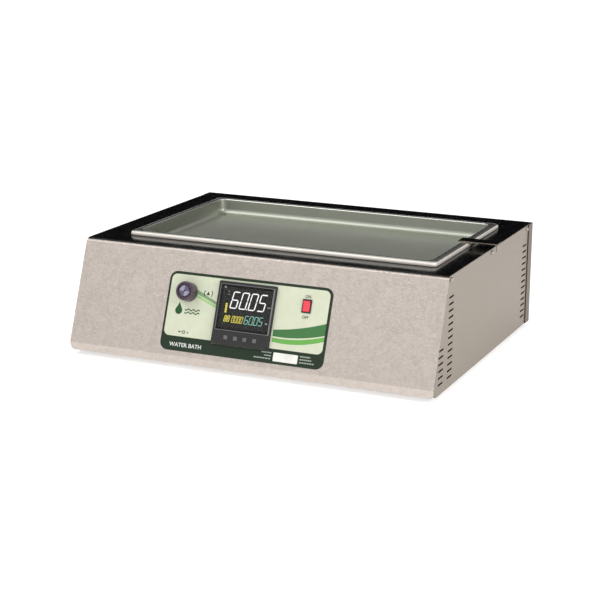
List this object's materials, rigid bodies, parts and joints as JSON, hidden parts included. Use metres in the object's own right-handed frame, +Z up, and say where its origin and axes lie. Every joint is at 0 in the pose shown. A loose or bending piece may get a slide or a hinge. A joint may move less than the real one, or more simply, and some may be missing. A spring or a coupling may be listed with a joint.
{
  "type": "water bath",
  "caption": "Flat bench-top laboratory water bath with a shallow steel pan let into a black top, a sloped control panel, a display, keys, a sounder and a rocker switch.",
  "frame": {"origin": "middle of the whole part's box, on the plane of the feet", "axes": "+X to the right along the front, +Y to the back, +Z up"},
  "size_m": [0.6318, 0.5018, 0.191],
  "materials": {
    "case_steel": "stainless sheet with a fine pressed grain",
    "side_steel": "fine ground stainless sheet",
    "rear_steel": "stainless sheet with upright grain",
    "floor_steel": "galvanised sheet",
    "deck_enamel": "glossy black enamel",
    "pan_steel": "bright drawn stainless with fine scratches",
    "strap_steel": "bright stainless strip, black on top",
    "seal_silicone": "black silicone",
    "plate_aluminium": "milled",
    "mat_silicone": "red silicone mat",
    "pad_fibre": "ceramic fibre",
    "tray_steel": "galvanised sheet",
    "probe_steel": "polished",
    "thermostat_plastic": "moulded phenolic",
    "overlay_film": "printed polyester film",
    "label_white": "blank paper label",
    "bezel_plastic": "fine textured",
    "window_glass": "clear",
    "display_plastic": "smoked display",
    "board_laminate": "green circuit board",
    "key_rubber": "grey keys",
    "switch_plastic": "black nylon",
    "rocker_plastic": "red polycarbonate",
    "contact_brass": "tinned",
    "buzzer_plastic": "violet black",
    "disc_plastic": "pale lavender",
    "inlet_plastic": "black",
    "fuse_glass": "clear tube",
    "relay_plastic": "off-white",
    "sink_aluminium": "extruded",
    "block_plastic": "cream nylon",
    "wire_insulation": "silicone sleeve",
    "screw_steel": "polished",
    "foot_rubber": "black rubber"
  },
  "bodies": {
    "case": {"front_panel": "case_steel", "side_panel_left": "side_steel", "side_panel_right": "side_steel", "rear_cover": "rear_steel", "base_plate": "floor_steel", "deck_plate": "deck_enamel", "deck_seal": "seal_silicone", "heater_plate": "plate_aluminium", "heater_mat": "mat_silicone", "insulation_pad": "pad_fibre", "heater_tray": "tray_steel", "tray_posts": "tray_steel", "safety_thermostat": "thermostat_plastic", "temperature_probe": "probe_steel", "overlay_label": "overlay_film", "rating_label": "label_white", "controller_bezel": "bezel_plastic", "controller_window": "window_glass", "controller_display": "display_plastic", "controller_board": "board_laminate", "controller_case": "bezel_plastic", "controller_terminals": "thermostat_plastic", "controller_clamps": "bezel_plastic", "switch_housing": "switch_plastic", "switch_terminals": "contact_brass", "buzzer_body": "buzzer_plastic", "buzzer_disc": "disc_plastic", "buzzer_nut": "buzzer_plastic", "power_inlet": "inlet_plastic", "inlet_pins": "contact_brass", "relay_heat_sink": "sink_aluminium", "relay": "relay_plastic", "terminal_block": "block_plastic", "side_screws": "screw_steel", "rear_screws": "screw_steel", "base_screws": "screw_steel", "inlet_screws": "screw_steel", "foot_screws": "screw_steel", "rubber_feet": "foot_rubber", "mains_leads": "wire_insulation", "heater_leads": "wire_insulation", "probe_lead": "wire_insulation"},
    "pan_unit": {"pan": "pan_steel", "lifting_strap": "strap_steel"},
    "rocker": {"switch_rocker": "rocker_plastic"},
    "set_key": {"key_set": "key_rubber"},
    "shift_key": {"key_shift": "key_rubber"},
    "down_key": {"key_down": "key_rubber"},
    "up_key": {"key_up": "key_rubber"},
    "fuse_carrier": {"fuse_drawer": "inlet_plastic", "fuse": "fuse_glass"}
  },
  "joints": [
    {"name": "pan_lift", "type": "slide", "parent": "case", "child": "pan_unit", "axis": [0, 0, 1], "range_m": [0, 0.09]},
    {"name": "power_rock", "type": "hinge", "parent": "case", "child": "rocker", "pos_m": [0.0871, -0.21573, 0.11776], "axis": [-1, 0, 0], "range_deg": [0, 14]},
    {"name": "set_press", "type": "slide", "parent": "case", "child": "set_key", "axis": [0, 0.9363, -0.3511], "range_m": [0, 0.0008], "stiffness_N_per_m": 500},
    {"name": "shift_press", "type": "slide", "parent": "case", "child": "shift_key", "axis": [0, 0.9363, -0.3511], "range_m": [0, 0.0008], "stiffness_N_per_m": 500},
    {"name": "down_press", "type": "slide", "parent": "case", "child": "down_key", "axis": [0, 0.9363, -0.3511], "range_m": [0, 0.0008], "stiffness_N_per_m": 500},
    {"name": "up_press", "type": "slide", "parent": "case", "child": "up_key", "axis": [0, 0.9363, -0.3511], "range_m": [0, 0.0008], "stiffness_N_per_m": 500},
    {"name": "fuse_drawer_slide", "type": "slide", "parent": "case", "child": "fuse_carrier", "axis": [0, 1, 0], "range_m": [0, 0.02]}
  ]
}
